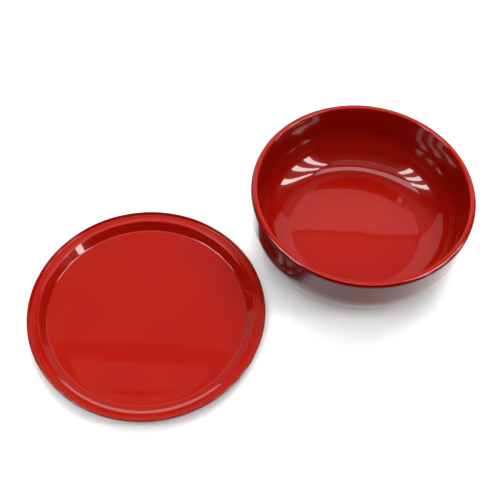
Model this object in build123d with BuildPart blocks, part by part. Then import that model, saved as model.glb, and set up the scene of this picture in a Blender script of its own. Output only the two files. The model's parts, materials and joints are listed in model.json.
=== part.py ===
from build123d import *
from math import cos, radians, sin, tan
import os

# A lacquered rice bowl for one person, with its flat lid lying open side up beside it.
#
# Each of the two is one moulded core that carries a coat of vermilion lacquer on the side
# that meets the food and a coat of dark lacquer on the side that meets the hand. The coats
# are thin shells of their own, face to face with the core. The ring of each foot that rubs
# on the table is bare.
#
# Millimetres. The origin is the centre of the bowl's foot ring, on the table. +X points
# from the lid to the bowl, and +Z points up.

# Both pieces
coat_thickness = 0.35        # one coat of lacquer
contact_margin = 0.3         # lacquer left beside the bare ring of each foot
gap_between = 4.6            # free space between the lid and the bowl on the table

# Bowl
bowl_height = 64.6           # table to the top of the rim
bowl_radius = 83.8           # outside, at the upright wall
wall_thickness = 5.1
floor_height = 10.8          # table to the inside floor
inner_corner = 29.0          # the curve from the inside floor up to the upright wall
belly_radius = 45.0          # the outside's upper curve, down from the upright wall
belly_turn = 46.0            # degrees that the upper curve turns through
outer_corner = 32.0          # the tighter curve below it, down to the underside
rim_inner_round = 1.5        # rounding on the inner edge of the rim
rim_outer_round = 3.0        # rounding on the outer edge of the rim
rim_colour_turn = 37.0       # degrees of the outer rounding that the vermilion covers
foot_height = 4.5            # foot ring
foot_radius = 39.0
foot_width = 3.8
foot_round = 0.7             # rounding on the foot ring's lower edges
foot_root_round = 1.0        # rounding where the foot ring meets the body
foot_recess = 4.2            # depth of the hollow under the bowl

# Lid, measured as it lies on its grip ring with its inside up
lip_clearance = 1.7          # from the bowl's wall to the inside of the lid's lip
lip_run = 1.2                # the lip's inner slope, across
lip_rise = 1.7               # the lip's inner slope, up from the flange
lip_top = 1.3                # the lip's top, across, its outer rounding included
lip_round = 1.0              # rounding on the lip's outer edge
lip_inner_round = 0.4        # rounding on the lip's inner edge
lip_colour_turn = 30.0       # degrees of the outer rounding that the vermilion covers
flange_root_round = 0.8      # rounding where the flange meets the lip
flange_edge_round = 2.0      # rounding under the flange's outer edge
bead_height = 0.45           # low bead round the mouth of the dish
bead_width = 2.3             # the bead's slope down to the flange
mouth_gap = 0.7              # from the bowl's mouth out to the edge of the lid's dish
dish_edge_round = 0.8        # rounding on the edge of the dish
dish_depth = 5.9             # from the flange to the dish floor
dish_slope = 52.0            # degrees that the dish wall rises at
dish_corner = 2.4            # rounding where the dish wall meets its floor
lid_thickness = 2.6          # dish, wall and flange
grip_height = 3.3            # ring on the lid's back, its grip when closed and its foot now
grip_radius = 37.5
grip_width = 3.4
grip_round = 0.7             # rounding on the ring's edges
grip_root_round = 1.0        # rounding where the ring meets the lid's back
grip_recess = 3.1            # depth of the hollow inside the ring

# The hand that closes the lid is stood in for by half a turn about an axis between the lid's
# place on the table and its seat, which is this far above the rim.
seat_gap = 0.8

# Worked out from the sizes above
mouth_radius = bowl_radius - wall_thickness
lip_radius = bowl_radius + lip_clearance
lid_radius = lip_radius + lip_run + lip_top
lid_distance = bowl_radius + gap_between + lid_radius
dish_floor = grip_height + lid_thickness
flange_height = dish_floor + dish_depth
lid_height = flange_height + lip_rise
dish_mouth = mouth_radius + mouth_gap
dish_radius = dish_mouth - (dish_depth + bead_height) / tan(radians(dish_slope))
back_shift = lid_thickness * tan(radians(dish_slope / 2))
turn_height = (flange_height + bowl_height + seat_gap) / 2
print(f"lid turns about x = {-lid_distance / 2:.3f}, z = {turn_height:.3f}")

lid_plane = Plane(origin=(-lid_distance, 0, 0), x_dir=(1, 0, 0), z_dir=(0, -1, 0))
lid_axis = Axis((-lid_distance, 0, 0), (0, 0, 1))


def whole_section(*outlines):
    """The closed line round the outlines, which follow each other end to end."""
    with BuildLine() as whole:
        for outline in outlines:
            add(outline.line)
        for ahead, behind in zip(outlines, outlines[1:] + outlines[:1]):
            end, start = ahead.wires()[0] @ 1, behind.wires()[0] @ 0
            if (end - start).length > 0.001:
                Line(end, start)
    return whole.edges()


def coat_section(outline):
    """The closed line round a coat of lacquer that lies under an outline, on its right."""
    with BuildLine() as coat:
        add(outline.line)
        offset(amount=coat_thickness, side=Side.RIGHT)
    return coat.edges()


# Bowl outlines, in the section's plane. Each runs with the core on its right.
rim_centre = (bowl_radius - rim_outer_round, bowl_height - rim_outer_round)
colour_change = 90 - rim_colour_turn

with BuildLine() as bowl_inside:
    FilletPolyline(
        (0, floor_height),
        (mouth_radius, floor_height),
        (mouth_radius, bowl_height),
        (rim_centre[0], bowl_height),
        radius=(inner_corner, rim_inner_round),
    )
    CenterArc(rim_centre, rim_outer_round, 90, -rim_colour_turn)

outer_turn = radians(belly_turn)
outer_rise = outer_corner * (1 - sin(outer_turn)) + belly_radius * sin(outer_turn)
outer_upper = (bowl_radius - belly_radius, foot_height + outer_rise)
outer_reach = (belly_radius - outer_corner) * cos(outer_turn)
outer_centre = (outer_upper[0] + outer_reach, foot_height + outer_corner)
with BuildLine() as bowl_outside:
    CenterArc(rim_centre, rim_outer_round, colour_change, -colour_change)
    Line((bowl_radius, rim_centre[1]), (bowl_radius, outer_upper[1]))
    CenterArc(outer_upper, belly_radius, 0, -belly_turn)
    CenterArc(outer_centre, outer_corner, -belly_turn, belly_turn - 90)
    FilletPolyline(
        (outer_centre[0], foot_height),
        (foot_radius, foot_height),
        (foot_radius, 0),
        (foot_radius - foot_round - contact_margin, 0),
        radius=(foot_root_round, foot_round),
    )

foot_inner = foot_radius - foot_width
with BuildLine() as bowl_underside:
    FilletPolyline(
        (foot_inner + foot_round + contact_margin, 0),
        (foot_inner, 0),
        (foot_inner, foot_recess),
        (0, foot_recess),
        radius=(foot_round, foot_root_round),
    )

# Lid outlines
lip_centre = (lid_radius - lip_round, lid_height - lip_round)
lip_colour_change = 90 - lip_colour_turn

with BuildLine() as lid_inside:
    FilletPolyline(
        (0, dish_floor),
        (dish_radius, dish_floor),
        (dish_mouth, flange_height + bead_height),
        (dish_mouth + bead_width, flange_height),
        (lip_radius, flange_height),
        (lip_radius + lip_run, lid_height),
        (lip_centre[0], lid_height),
        radius=(dish_corner, dish_edge_round, 2 * bead_width, flange_root_round, lip_inner_round),
    )
    CenterArc(lip_centre, lip_round, 90, -lip_colour_turn)

with BuildLine() as lid_outside:
    CenterArc(lip_centre, lip_round, lip_colour_change, -lip_colour_change)
    FilletPolyline(
        (lid_radius, lip_centre[1]),
        (lid_radius, flange_height - lid_thickness),
        (dish_mouth + back_shift, flange_height - lid_thickness),
        (dish_radius + back_shift, grip_height),
        (grip_radius, grip_height),
        (grip_radius, 0),
        (grip_radius - grip_round - contact_margin, 0),
        radius=(flange_edge_round, dish_corner, dish_corner, grip_root_round, grip_round),
    )

grip_inner = grip_radius - grip_width
with BuildLine() as lid_underside:
    FilletPolyline(
        (grip_inner + grip_round + contact_margin, 0),
        (grip_inner, 0),
        (grip_inner, grip_recess),
        (0, grip_recess),
        radius=(grip_round, grip_root_round),
    )

# Bowl
with BuildPart() as bowl_core:
    with BuildSketch(Plane.XZ):
        make_face(whole_section(bowl_inside, bowl_outside, bowl_underside))
        make_face(coat_section(bowl_inside), mode=Mode.SUBTRACT)
        make_face(coat_section(bowl_outside), mode=Mode.SUBTRACT)
        make_face(coat_section(bowl_underside), mode=Mode.SUBTRACT)
    revolve(axis=Axis.Z)
bowl_core.part.label = "bowl_core"

with BuildPart() as bowl_inner_lacquer:
    with BuildSketch(Plane.XZ):
        make_face(coat_section(bowl_inside))
    revolve(axis=Axis.Z)
bowl_inner_lacquer.part.label = "bowl_inner_lacquer"

with BuildPart() as bowl_outer_lacquer:
    with BuildSketch(Plane.XZ):
        make_face(coat_section(bowl_outside))
        make_face(coat_section(bowl_underside))
    revolve(axis=Axis.Z)
bowl_outer_lacquer.part.label = "bowl_outer_lacquer"

# Lid
with BuildPart() as lid_core:
    with BuildSketch(lid_plane):
        make_face(whole_section(lid_inside, lid_outside, lid_underside))
        make_face(coat_section(lid_inside), mode=Mode.SUBTRACT)
        make_face(coat_section(lid_outside), mode=Mode.SUBTRACT)
        make_face(coat_section(lid_underside), mode=Mode.SUBTRACT)
    revolve(axis=lid_axis)
lid_core.part.label = "lid_core"

with BuildPart() as lid_inner_lacquer:
    with BuildSketch(lid_plane):
        make_face(coat_section(lid_inside))
    revolve(axis=lid_axis)
lid_inner_lacquer.part.label = "lid_inner_lacquer"

with BuildPart() as lid_outer_lacquer:
    with BuildSketch(lid_plane):
        make_face(coat_section(lid_outside))
        make_face(coat_section(lid_underside))
    revolve(axis=lid_axis)
lid_outer_lacquer.part.label = "lid_outer_lacquer"

os.makedirs("parts", exist_ok=True)
for piece in (
    bowl_core,
    bowl_inner_lacquer,
    bowl_outer_lacquer,
    lid_core,
    lid_inner_lacquer,
    lid_outer_lacquer,
):
    export_step(piece.part, f"parts/{piece.part.label}.step")
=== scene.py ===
# %% [markdown]
# # A lacquered rice bowl and its lid
#
# The object is two loose pieces: a deep bowl on a foot ring, and a flat dished lid that lies
# open side up beside it. Each is a moulded core under two coats of lacquer, vermilion where
# the food goes and near-black red where the hands go. The design holds the core and the
# coats as separate bodies at their real sizes. This lesson keeps those sizes, turns fine
# meshes for the coats, and gives every surface its finish.

# %% Load the design
import json
import math

import bmesh
import bpy
from mathutils import Matrix, Vector


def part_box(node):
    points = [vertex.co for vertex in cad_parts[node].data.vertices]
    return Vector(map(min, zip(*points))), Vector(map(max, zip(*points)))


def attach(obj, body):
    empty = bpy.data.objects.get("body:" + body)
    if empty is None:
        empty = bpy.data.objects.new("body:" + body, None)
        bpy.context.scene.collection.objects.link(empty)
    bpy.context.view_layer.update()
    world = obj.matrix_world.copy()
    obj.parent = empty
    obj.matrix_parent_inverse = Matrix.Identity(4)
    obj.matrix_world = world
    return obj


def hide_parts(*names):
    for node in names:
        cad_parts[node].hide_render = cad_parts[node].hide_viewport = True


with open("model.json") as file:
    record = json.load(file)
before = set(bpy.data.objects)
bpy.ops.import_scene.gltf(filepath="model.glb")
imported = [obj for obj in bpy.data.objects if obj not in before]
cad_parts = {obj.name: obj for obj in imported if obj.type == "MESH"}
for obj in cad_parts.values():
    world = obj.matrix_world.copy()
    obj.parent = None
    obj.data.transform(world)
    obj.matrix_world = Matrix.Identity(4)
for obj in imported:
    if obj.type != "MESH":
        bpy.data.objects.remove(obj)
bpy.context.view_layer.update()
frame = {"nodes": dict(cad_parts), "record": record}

# %% [markdown]
# ## Where things are
#
# Every place comes from the design: the boxes of its nodes and its named mounts. Sizes of
# the outlines are in millimetres, as a maker's drawing has them, and one factor turns them
# into Blender's metres.

# %% Read the places and the main sizes
MM = 0.001

mounts = {mount["name"]: Vector(mount["pos_m"]) for mount in frame["record"]["mounts"]}
bowl_centre = mounts["bowl_foot"]
lid_centre = mounts["lid_ring"]

outer_low, outer_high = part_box("bowl_outer_lacquer")
bowl_radius = (outer_high.x - outer_low.x) / 2 / MM
bowl_height = mounts["bowl_rim"].z / MM
lid_low, lid_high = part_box("lid_outer_lacquer")
lid_radius = (lid_high.x - lid_low.x) / 2 / MM
lid_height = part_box("lid_inner_lacquer")[1].z / MM
dish_floor = mounts["lid_dish_floor"].z / MM
coat_thickness = (mounts["lid_dish_floor"].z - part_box("lid_inner_lacquer")[0].z) / MM
floor_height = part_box("bowl_inner_lacquer")[0].z / MM + coat_thickness
print(f"bowl {2 * bowl_radius:.1f} across, {bowl_height:.1f} high, floor at {floor_height:.1f}")
print(f"lid {2 * lid_radius:.1f} across, {lid_height:.1f} high, coats {coat_thickness:.2f} thick")

# %% [markdown]
# ## The camera
#
# It looks down on both pieces from the front left, high enough to see the floor of the bowl
# and the whole lid. It stands at a distance, angle and small tilt round a point on the table,
# so it follows the design if that changes.

# %% Place the camera
between = (lid_centre + bowl_centre) / 2
aim_offset = Vector((0.0076, 0.0228, 0))
aim_point = between + aim_offset
camera_distance = 0.7232
camera_elevation = math.radians(57.54)
camera_heading = math.radians(27.79)
camera_roll = math.radians(2.91)
lens = 65.86
sensor_width = 36

flat = math.cos(camera_elevation)
heading = Vector((math.sin(camera_heading), math.cos(camera_heading), 0))
look = flat * heading - Vector((0, 0, math.sin(camera_elevation)))
level = look.cross(Vector((0, 0, 1))).normalized()
upward = level.cross(look)
right = math.cos(camera_roll) * level + math.sin(camera_roll) * upward
above = math.cos(camera_roll) * upward - math.sin(camera_roll) * level

camera_data = bpy.data.cameras.new("camera")
camera_data.lens = lens
camera_data.sensor_width = sensor_width
camera = bpy.data.objects.new("camera", camera_data)
camera.matrix_world = Matrix.Translation(aim_point - camera_distance * look) @ Matrix(
    (right, above, -look)
).transposed().to_4x4()
bpy.context.scene.collection.objects.link(camera)
bpy.context.scene.camera = camera
print("camera at", [round(c, 4) for c in camera.matrix_world.translation])

# %% [markdown]
# ## Outlines for turning
#
# A bowl is turned or moulded round one axis, so one outline says everything. An outline here
# is a list of (radius, height) points: straight runs and true arcs, joined where they are
# tangent, so that reflections run through without a kink. Polygons could be drawn by hand,
# but arcs keep the curvature honest, and high gloss shows every mistake in it.

# %% Helpers for outlines
SAME_POINT = 0.004


def arc(centre, radius, start, turn, steps=12):
    """Points on an arc, from start degrees through turn degrees."""
    angles = [math.radians(start + turn * step / steps) for step in range(steps + 1)]
    return [(centre[0] + radius * math.cos(a), centre[1] + radius * math.sin(a)) for a in angles]


def run(start, end, longest=9.0):
    """Points on a straight run, no further apart than longest."""
    steps = max(1, math.ceil(math.dist(start, end) / longest))
    return [tuple(s + (e - s) * i / steps for s, e in zip(start, end)) for i in range(steps + 1)]


def rounded(points, radii, steps=()):
    """The points joined by straight runs, with each inner corner rounded to its radius."""
    steps = steps or [9] * len(radii)
    corners = [Vector(p) for p in points]
    stops, outline = [corners[0]], []
    for before, corner, after, radius, count in zip(corners, corners[1:], corners[2:], radii, steps):
        back, ahead = (before - corner).normalized(), (after - corner).normalized()
        half = back.angle(ahead) / 2
        reach, depth = radius / math.tan(half), radius / math.sin(half)
        centre = corner + (back + ahead).normalized() * depth
        first, last = corner + back * reach - centre, corner + ahead * reach - centre
        start = math.degrees(math.atan2(first.y, first.x))
        turn = math.degrees(math.atan2(first.x * last.y - first.y * last.x, first.dot(last)))
        outline += run(stops[-1], centre + first) + arc(centre, radius, start, turn, count)
        stops.append(centre + last)
    return outline + run(stops[-1], corners[-1])


def joined(*stretches):
    """One outline from stretches that follow each other, without repeated points."""
    outline = []
    for stretch in stretches:
        for point in stretch:
            if not outline or math.dist(outline[-1], point) > SAME_POINT:
                outline.append(tuple(point))
    return outline


# %% [markdown]
# ## The bowl's outlines
#
# The inside climbs from a flat floor through one round corner to an upright wall. The outside
# is fuller: a wide belly above, and a tighter curve below it down to the foot ring. Both
# coats meet on the outer rounding of the rim, where a lacquerer's brush stops. By hand that
# line is never a perfect circle, so it wanders by a tenth of a millimetre or so.

# %% Bowl sizes and outlines
wall_thickness = 5.1
inner_corner = 29.0
belly_radius, belly_turn, outer_corner = 45.0, 46.0, 32.0
rim_inner_round, rim_outer_round = 1.5, 3.0
rim_colour_turn = 37.0
foot_height, foot_radius, foot_width, foot_recess = 4.5, 39.0, 3.8, 4.2
foot_round, foot_root_round = 0.7, 1.0
contact_margin = 0.3
bowl_swing = 3

mouth_radius = bowl_radius - wall_thickness
rim_centre = (bowl_radius - rim_outer_round, bowl_height - rim_outer_round)
foot_inner = foot_radius - foot_width


def brush_line(around, swing):
    """How far the colour change wanders at an angle round the axis, in degrees of the rounding."""
    slow = 0.5 * math.sin(3 * around + 0.8)
    quick = 0.3 * math.sin(7 * around) + 0.2 * math.sin(17 * around + 2)
    return swing * (slow + quick)


def bowl_inside(around):
    hollow = rounded(
        [
            (0, floor_height),
            (mouth_radius, floor_height),
            (mouth_radius, bowl_height),
            (rim_centre[0], bowl_height),
        ],
        [inner_corner, rim_inner_round],
        [36, 9],
    )
    turn = rim_colour_turn + brush_line(around, bowl_swing)
    return joined(hollow, arc(rim_centre, rim_outer_round, 90, -turn, 8))


def bowl_outside(around):
    change = 90 - rim_colour_turn - brush_line(around, bowl_swing)
    turn = math.radians(belly_turn)
    rise = outer_corner * (1 - math.sin(turn)) + belly_radius * math.sin(turn)
    upper = (bowl_radius - belly_radius, foot_height + rise)
    lower = (upper[0] + (belly_radius - outer_corner) * math.cos(turn), foot_height + outer_corner)
    foot = rounded(
        [
            (lower[0], foot_height),
            (foot_radius, foot_height),
            (foot_radius, 0),
            (foot_radius - foot_round - contact_margin, 0),
        ],
        [foot_root_round, foot_round],
    )
    return joined(
        arc(rim_centre, rim_outer_round, change, -change, 12),
        run((bowl_radius, rim_centre[1]), (bowl_radius, upper[1])),
        arc(upper, belly_radius, 0, -belly_turn, 22),
        arc(lower, outer_corner, -belly_turn, belly_turn - 90, 20),
        foot,
    )


def bowl_underside(around):
    return rounded(
        [
            (foot_inner + foot_round + contact_margin, 0),
            (foot_inner, 0),
            (foot_inner, foot_recess),
            (0, foot_recess),
        ],
        [foot_round, foot_root_round],
    )


print("bowl outline points", len(bowl_inside(0)), len(bowl_outside(0)), len(bowl_underside(0)))

# %% [markdown]
# ## The lid's outlines
#
# Lying on its grip ring, the lid is a flat dish, then a low bead round the dish's mouth, a
# flat flange that sits on the bowl's rim, and a raised lip that keeps it from sliding off.

# %% Lid sizes and outlines
lid_thickness = 2.6
lip_run, lip_rise, lip_top = 1.2, 1.7, 1.3
lip_round, lip_inner_round = 1.0, 0.4
lip_colour_turn = 30.0
lid_swing = 7
flange_root_round, flange_edge_round = 0.8, 2.0
bead_height, bead_width = 0.45, 2.3
mouth_gap = 0.7
dish_edge_round, dish_corner, dish_slope = 0.8, 2.4, 52.0
grip_radius, grip_width, grip_recess = 37.5, 3.4, 3.1
grip_round, grip_root_round = 0.7, 1.0

lip_radius = lid_radius - lip_top - lip_run
flange_height = lid_height - lip_rise
grip_height = dish_floor - lid_thickness
dish_mouth = mouth_radius + mouth_gap
dish_wall_rise = flange_height + bead_height - dish_floor
dish_radius = dish_mouth - dish_wall_rise / math.tan(math.radians(dish_slope))
back_shift = lid_thickness * math.tan(math.radians(dish_slope / 2))
lip_centre = (lid_radius - lip_round, lid_height - lip_round)
grip_inner = grip_radius - grip_width


def lid_inside(around):
    turn = lip_colour_turn + brush_line(around, lid_swing)
    dish = rounded(
        [
            (0, dish_floor),
            (dish_radius, dish_floor),
            (dish_mouth, flange_height + bead_height),
            (dish_mouth + bead_width, flange_height),
            (lip_radius, flange_height),
            (lip_radius + lip_run, lid_height),
            (lip_centre[0], lid_height),
        ],
        [dish_corner, dish_edge_round, 2 * bead_width, flange_root_round, lip_inner_round],
    )
    return joined(dish, arc(lip_centre, lip_round, 90, -turn, 4))


def lid_outside(around):
    change = 90 - lip_colour_turn - brush_line(around, lid_swing)
    back = rounded(
        [
            (lid_radius, lip_centre[1]),
            (lid_radius, flange_height - lid_thickness),
            (dish_mouth + back_shift, flange_height - lid_thickness),
            (dish_radius + back_shift, grip_height),
            (grip_radius, grip_height),
            (grip_radius, 0),
            (grip_radius - grip_round - contact_margin, 0),
        ],
        [flange_edge_round, dish_corner, dish_corner, grip_root_round, grip_round],
    )
    return joined(arc(lip_centre, lip_round, change, -change, 7), back)


def lid_underside(around):
    return rounded(
        [
            (grip_inner + grip_round + contact_margin, 0),
            (grip_inner, 0),
            (grip_inner, grip_recess),
            (0, grip_recess),
        ],
        [grip_round, grip_root_round],
    )


print("lid outline points", len(lid_inside(0)), len(lid_outside(0)), len(lid_underside(0)))

# %% [markdown]
# ## Turning a coat
#
# A coat of lacquer is a thin shell: its outline, the same outline one coat deeper, and a cut
# end at each edge. Blender's spin or a screw modifier would turn one fixed outline. Here the
# outline changes a little on the way round, so the rings are laid out one by one.

# %% A lathe for coats
TURNS = 288
ON_AXIS = 1e-6
CREASE = math.radians(32)


def deeper(outline, depth):
    """The outline moved sideways to its right, into the core."""
    moved = []
    for i, (radius, height) in enumerate(outline):
        before, after = outline[max(i - 1, 0)], outline[min(i + 1, len(outline) - 1)]
        along = Vector((after[0] - before[0], after[1] - before[1])).normalized()
        if radius < ON_AXIS:
            along = Vector((math.copysign(1, along.x), 0))
        moved.append((radius + depth * along.y, height - depth * along.x))
    return moved


def turned(name, centre, sections):
    """A closed mesh from closed sections, one function of the angle for each separate solid."""
    mesh = bmesh.new()
    for section in sections:
        rings = []
        for turn in range(TURNS):
            around = 2 * math.pi * turn / TURNS
            ring = []
            for i, (radius, height) in enumerate(section(around)):
                if radius < ON_AXIS and rings:
                    ring.append(rings[0][i])
                    continue
                spot = (radius * MM * math.cos(around), radius * MM * math.sin(around), height * MM)
                ring.append(mesh.verts.new(spot))
            rings.append(ring)
        for ring, following in zip(rings, rings[1:] + rings[:1]):
            for i in range(len(ring)):
                k = (i + 1) % len(ring)
                corners = list(dict.fromkeys((ring[i], ring[k], following[k], following[i])))
                if len(corners) > 2:
                    mesh.faces.new(corners)
    bmesh.ops.recalc_face_normals(mesh, faces=mesh.faces)
    for face in mesh.faces:
        face.smooth = True
    for edge in mesh.edges:
        edge.smooth = edge.calc_face_angle(0) < CREASE
    data = bpy.data.meshes.new(name)
    mesh.to_mesh(data)
    mesh.free()
    piece = bpy.data.objects.new(name, data)
    piece.location = centre
    bpy.context.scene.collection.objects.link(piece)
    return piece


def coat(outline):
    """The section of a coat under an outline."""
    return lambda around: outline(around) + deeper(outline(around), coat_thickness)[::-1]


# %% Turn the four coats
bowl_red = turned("bowl_vermilion_coat", bowl_centre, [coat(bowl_inside)])
bowl_dark = turned("bowl_dark_coat", bowl_centre, [coat(bowl_outside), coat(bowl_underside)])
lid_red = turned("lid_vermilion_coat", lid_centre, [coat(lid_inside)])
lid_dark = turned("lid_dark_coat", lid_centre, [coat(lid_outside), coat(lid_underside)])
for piece in (bowl_red, bowl_dark, lid_red, lid_dark):
    print(piece.name, len(piece.data.polygons), "faces")

# %% [markdown]
# ## Finishes
#
# Lacquer is a clear, hard, wet-looking film over colour. The colour below is the base of the
# shader, and the film is its coat layer: nearly mirror smooth, with only the faint ripple
# that a brushed or sprayed coat keeps when it dries. Images could carry this, but small
# noise patterns in the piece's own space have no seams and stay sharp at any size.

# %% Helpers for finishes
def finish_nodes(name):
    """A new material, with functions that add a node and join two sockets."""
    material = bpy.data.materials.new(name)
    material.use_nodes = True
    tree = material.node_tree
    shader = tree.nodes["Principled BSDF"]
    place = tree.nodes.new("ShaderNodeTexCoord").outputs["Object"]

    def add(kind, **settings):
        node = tree.nodes.new(kind)
        for key, value in settings.items():
            setattr(node, key, value)
        return node

    return material, shader, place, add, tree.links.new


def noise(add, link, place, scale, detail=3.0, roughness=0.5):
    """A soft noise over the piece, with scale in features per metre."""
    node = add("ShaderNodeTexNoise")
    node.inputs["Scale"].default_value = scale
    node.inputs["Detail"].default_value = detail
    node.inputs["Roughness"].default_value = roughness
    link(place, node.inputs["Vector"])
    return node.outputs["Fac"]


def remap(add, link, value, source, target, smooth=False):
    """The value stretched from one range to another, and held inside it."""
    node = add("ShaderNodeMapRange", interpolation_type="SMOOTHSTEP" if smooth else "LINEAR")
    link(value, node.inputs["Value"])
    for socket, number in zip(("From Min", "From Max", "To Min", "To Max"), (*source, *target)):
        node.inputs[socket].default_value = number
    return node.outputs["Result"]


def combine(add, link, operation, first, second):
    """Two values put together by a math operation."""
    node = add("ShaderNodeMath", operation=operation)
    for socket, value in zip(node.inputs, (first, second)):
        if isinstance(value, (int, float)):
            socket.default_value = value
        else:
            link(value, socket)
    return node.outputs["Value"]


def mixed(add, link, share, first, second):
    """Two colours mixed by a share from 0 to 1."""
    node = add("ShaderNodeMix", data_type="RGBA")
    link(share, node.inputs["Factor"])
    for socket, colour in zip((node.inputs["A"], node.inputs["B"]), (first, second)):
        if isinstance(colour, tuple):
            socket.default_value = (*colour, 1)
        else:
            link(colour, socket)
    return node.outputs["Result"]


def bumped(add, link, relief, strength, distance, *normals):
    """A relief given to the normal sockets; distance is its depth in metres where it is 1."""
    bump = add("ShaderNodeBump")
    bump.inputs["Strength"].default_value = strength
    bump.inputs["Distance"].default_value = distance
    link(relief, bump.inputs["Height"])
    for normal in normals:
        link(bump.outputs["Normal"], normal)


# %% [markdown]
# ## Lacquer
#
# One recipe serves both colours. The colour drifts slowly, as pigment settles unevenly, and
# deepens a touch where the film pools. The surface ripples by a few thousandths of a
# millimetre over a few millimetres, and swells by a few hundredths over a few centimetres.
# That bends straight reflections, and a scatter of tiny nibs marks dust that dried in. Fine
# rubbing marks vary the sheen of the colour under the film, and close to the table the
# lacquer is scuffed paler.

# %% Lacquer recipe
# Features per metre of each pattern
DRIFT_SCALE, SPECKLE_SCALE = 22, 900
RUB_SCALE, MARK_SCALE = 420, 160
PEEL_SCALE, SWELL_SCALE, NIB_SCALE = 190, 45, 95

SWELL_SHARE = 9
RELIEF_DEPTH = 0.00001


def lacquer(name, colour, deeper_colour, worn_colour, ripple, wear_height, film_index):
    """A glossy film over a colour, scuffed up to wear_height in metres above the table."""
    material, shader, place, add, link = finish_nodes(name)

    drift = remap(add, link, noise(add, link, place, DRIFT_SCALE, 2), (0.35, 0.65), (0, 1))
    speckle = remap(add, link, noise(add, link, place, SPECKLE_SCALE, 2), (0.4, 0.7), (0, 0.35))
    share = combine(add, link, "ADD", combine(add, link, "MULTIPLY", drift, 0.65), speckle)
    body = mixed(add, link, share, colour, deeper_colour)

    height = add("ShaderNodeSeparateXYZ")
    link(place, height.inputs["Vector"])
    low_down = remap(add, link, height.outputs["Z"], (0, wear_height), (1, 0))
    rubs = remap(add, link, noise(add, link, place, RUB_SCALE, 5, 0.7), (0.46, 0.66), (0, 1))
    worn = combine(add, link, "MULTIPLY", low_down, rubs)
    link(mixed(add, link, worn, body, worn_colour), shader.inputs["Base Color"])

    marks = noise(add, link, place, MARK_SCALE, 6, 0.75)
    sheen = remap(add, link, marks, (0.3, 0.7), (0.16, 0.26))
    dulled = combine(add, link, "MULTIPLY", worn, 0.3)
    link(combine(add, link, "ADD", sheen, dulled), shader.inputs["Roughness"])

    peel = combine(add, link, "MULTIPLY", noise(add, link, place, PEEL_SCALE, 1.5), ripple)
    swell_height = SWELL_SHARE * ripple
    swell = combine(add, link, "MULTIPLY", noise(add, link, place, SWELL_SCALE, 1), swell_height)
    cells = add("ShaderNodeTexVoronoi")
    cells.inputs["Scale"].default_value = NIB_SCALE
    link(place, cells.inputs["Vector"])
    nibs = remap(add, link, cells.outputs["Distance"], (0, 0.05), (0.35, 0), smooth=True)
    relief = combine(add, link, "ADD", combine(add, link, "ADD", peel, swell), nibs)
    bumped(add, link, relief, 1.0, RELIEF_DEPTH, shader.inputs["Normal"], shader.inputs["Coat Normal"])

    shader.inputs["IOR"].default_value = 1.45
    shader.inputs["Specular IOR Level"].default_value = 0.15
    shader.inputs["Coat Weight"].default_value = 1.0
    shader.inputs["Coat Roughness"].default_value = 0.02
    shader.inputs["Coat IOR"].default_value = film_index
    return material


# %% The two lacquers
vermilion = lacquer(
    "vermilion_lacquer",
    colour=(0.26, 0.0062, 0.0012),
    deeper_colour=(0.24, 0.0052, 0.0010),
    worn_colour=(0.20, 0.02, 0.01),
    ripple=0.5,
    wear_height=0.002,
    film_index=1.48,
)
dark = lacquer(
    "dark_lacquer",
    colour=(0.085, 0.0010, 0.0014),
    deeper_colour=(0.060, 0.0008, 0.0010),
    worn_colour=(0.10, 0.03, 0.018),
    ripple=0.6,
    wear_height=0.0035,
    film_index=1.36,
)
print("lacquers", vermilion.name, dark.name)

# %% [markdown]
# ## The bare core
#
# Only the narrow ring that rubs on the table shows the core: a warm brown moulded body, dull
# and finely scuffed. The core's own mesh from the design is right as it is, so it keeps its
# shape and only gets a better surface.

# %% Core finish
GRAIN_SCALE, PATCH_SCALE = 1400, 160
GRAIN_DEPTH = 0.00008


def bare_core():
    """A dull brown moulding, scuffed as fine as the grain."""
    material, shader, place, add, link = finish_nodes("moulded_core")
    grain = noise(add, link, place, GRAIN_SCALE, 4, 0.65)
    patches = remap(add, link, noise(add, link, place, PATCH_SCALE, 3), (0.35, 0.65), (0, 1))
    brown, darker_brown = (0.13, 0.075, 0.05), (0.085, 0.045, 0.03)
    link(mixed(add, link, patches, brown, darker_brown), shader.inputs["Base Color"])
    link(remap(add, link, grain, (0.3, 0.7), (0.45, 0.75)), shader.inputs["Roughness"])
    bumped(add, link, grain, 0.6, GRAIN_DEPTH, shader.inputs["Normal"])
    return material


core = bare_core()
for node in ("bowl_core", "lid_core"):
    design_mesh = frame["nodes"][node].data
    design_mesh.materials.clear()
    design_mesh.materials.append(core)
    print(node, "keeps its mesh,", len(design_mesh.polygons), "faces")

# %% [markdown]
# ## Putting the coats on
#
# Each turned coat stands for the plain coat of the design, rides on the same body, and takes
# its finish.

# %% Dress the pieces
for piece, node, body, slot, finish in (
    (bowl_red, "bowl_inner_lacquer", "bowl", "vermilion_lacquer", vermilion),
    (bowl_dark, "bowl_outer_lacquer", "bowl", "dark_lacquer", dark),
    (lid_red, "lid_inner_lacquer", "lid", "vermilion_lacquer", vermilion),
    (lid_dark, "lid_outer_lacquer", "lid", "dark_lacquer", dark),
):
    piece.data.materials.append(finish)
    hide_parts(node)
    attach(piece, body)
    print(piece.name, "rides on", body)

# %% [markdown]
# ## The table and the light
#
# Gloss shows the room, so the lights are part of the look. A pale table carries the pieces.
# A wide bright screen stands on the far side: its mirror image is the light patch on the
# bowl's floor. Above it hangs a dimmer ceiling with a brighter band that fades on one side,
# a long bar hangs over the pieces, and three slats hang on the camera's side. Narrow strip
# lights stand to the sides, three and three, and draw the white dashes on the curved wall.
# Two large soft lights, a key on the far side and a weaker fill on the near side, give the
# even brightness and the shadows. They are kept out of the reflections, as a studio does
# with flags, so the gloss shows only the room. The outer strips and the slats are the other
# way round: they show in the gloss, and are kept off the colour.

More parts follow.
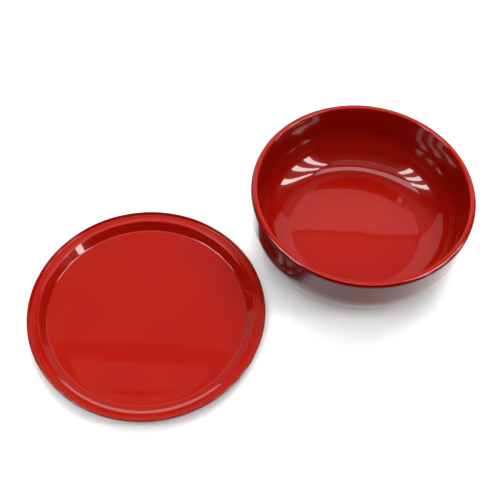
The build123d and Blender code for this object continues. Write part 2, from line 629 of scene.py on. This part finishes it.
# %% Table
TABLE_SIZE = 6.0
FLECK_SCALE = 60


def table():
    """A pale matt sheet under the pieces, faintly flecked."""
    material, shader, place, add, link = finish_nodes("pale_table")
    fleck = remap(add, link, noise(add, link, place, FLECK_SCALE, 3), (0.3, 0.7), (0, 1))
    link(mixed(add, link, fleck, (0.90, 0.90, 0.90), (0.88, 0.88, 0.88)), shader.inputs["Base Color"])
    shader.inputs["Roughness"].default_value = 0.7
    shader.inputs["Specular IOR Level"].default_value = 0.2
    sheet = bmesh.new()
    bmesh.ops.create_grid(sheet, x_segments=4, y_segments=4, size=TABLE_SIZE / 2)
    data = bpy.data.meshes.new("table")
    sheet.to_mesh(data)
    sheet.free()
    top = bpy.data.objects.new("table", data)
    top.location = aim_point
    data.materials.append(material)
    bpy.context.scene.collection.objects.link(top)
    print(f"table {TABLE_SIZE} m square, its top at {top.location.z}")


table()

# %% Helpers for lights
# An area light of one watt a square metre looks as bright as this share of white.
AREA_SHARE = 0.25


def softbox(name, centre, facing, width, height, brightness, lights=True, shows=True):
    """A flat light of an even brightness, as a share of white, turned to face a point."""
    light = bpy.data.lights.new(name, "AREA")
    light.shape = "RECTANGLE"
    light.size, light.size_y = width, height
    light.energy = brightness * width * height / AREA_SHARE
    lamp = bpy.data.objects.new(name, light)
    lamp.location = centre
    lamp.rotation_mode = "QUATERNION"
    lamp.rotation_quaternion = (Vector(facing) - Vector(centre)).to_track_quat("-Z", "Y")
    lamp.visible_diffuse = lights
    lamp.visible_glossy = shows
    bpy.context.scene.collection.objects.link(lamp)
    print(f"{name}: {width} x {height} m, brightness {brightness}, {light.energy:.1f} W")
    return lamp


def spot(azimuth, elevation, distance):
    """A point seen from between the pieces in a direction; azimuth runs from +Y to +X."""
    a, e = math.radians(azimuth), math.radians(elevation)
    level_share = math.cos(e)
    return between + distance * Vector((math.sin(a) * level_share, math.cos(a) * level_share, math.sin(e)))


def rise(distance, elevation):
    """The height that is seen under an elevation, at a distance along the table."""
    return distance * math.tan(math.radians(elevation))


def ceiling_bar(name, ahead, along, length, width, brightness, lights=True):
    """A light on the ceiling that runs from side to side; ahead and along place its middle."""
    middle = between + heading * ahead + level * along + Vector((0, 0, ceiling))
    lamp = softbox(name, middle, middle - Vector((0, 0, 1)), length, width, brightness, lights)
    lamp.rotation_quaternion = Matrix((level, heading, level.cross(heading))).transposed().to_quaternion()


# %% The screen on the far side
screen_distance = 1.7
screen_foot, screen_top = rise(screen_distance, 11), rise(screen_distance, 55.6)
screen_left, screen_right = -3.75, 2.2
screen_brightness = 0.55
screen_middle = between + heading * screen_distance + level * (screen_left + screen_right) / 2
screen_middle.z = (screen_foot + screen_top) / 2
screen_size = (screen_right - screen_left, screen_top - screen_foot)
softbox("far_screen", screen_middle, screen_middle - heading, *screen_size, screen_brightness)

# %% The ceiling
ceiling = 2.7
ceiling_along, ceiling_length = -0.4, 5.0
near_edge = ceiling / math.tan(math.radians(64.9))
far_edge = ceiling / math.tan(math.radians(56.0))
ceiling_middle = (near_edge + far_edge) / 2
ceiling_bar("far_ceiling", ceiling_middle, ceiling_along, ceiling_length, far_edge - near_edge, 0.14)
for name, before_edge, width, brightness in (
    ("ceiling_band", 0.140, 0.110, 0.20),
    ("ceiling_band_middle", 0.128, 0.075, 0.22),
    ("ceiling_band_heart", 0.112, 0.040, 0.30),
):
    ceiling_bar(name, near_edge - before_edge, ceiling_along, ceiling_length, width, brightness)

bar_along = -0.2
ceiling_bar("overhead_bar", 0.1, bar_along, length=2.9, width=0.56, brightness=2.3)
first_slat, slat_step = -0.62, -0.32
for step in range(3):
    ahead = first_slat + slat_step * step
    ceiling_bar(f"ceiling_slat_{step + 1}", ahead, bar_along, 2.6, 0.11, 1.2, lights=False)

# %% The strips at the sides
tube_distance, tube_width, tube_brightness = 1.3, 0.145, 9.0
tube_top = rise(tube_distance, 61)
middle_tube = 2
for side, azimuths, tube_foot in (("right", (113, 130.5, 145.5), 0.44), ("left", (-67, -80, -94), 0.78)):
    for number, azimuth in enumerate(azimuths, 1):
        centre = spot(azimuth, 0, tube_distance) + Vector((0, 0, (tube_foot + tube_top) / 2))
        softbox(
            f"{side}_tube_{number}",
            centre,
            (between.x, between.y, centre.z),
            tube_width,
            tube_top - tube_foot,
            tube_brightness,
            lights=number == middle_tube,
        )

# %% The key and the fill
soft_distance, soft_width, soft_height = 1.9, 1.8, 1.2
for name, azimuth, elevation, brightness in (("key", 35, 60, 4.6), ("fill", -152, 62, 2.4)):
    centre = spot(azimuth, elevation, soft_distance)
    softbox(name, centre, between, soft_width, soft_height, brightness, shows=False)

# %% The room's faint light and the tones
world = bpy.data.worlds.new("room")
world.use_nodes = True
world.node_tree.nodes["Background"].inputs["Color"].default_value = (0.02, 0.02, 0.02, 1)
bpy.context.scene.world = world
tones = bpy.context.scene.view_settings
tones.view_transform = "Standard"
tones.look = "Medium High Contrast"
print("tones", tones.view_transform, tones.look)
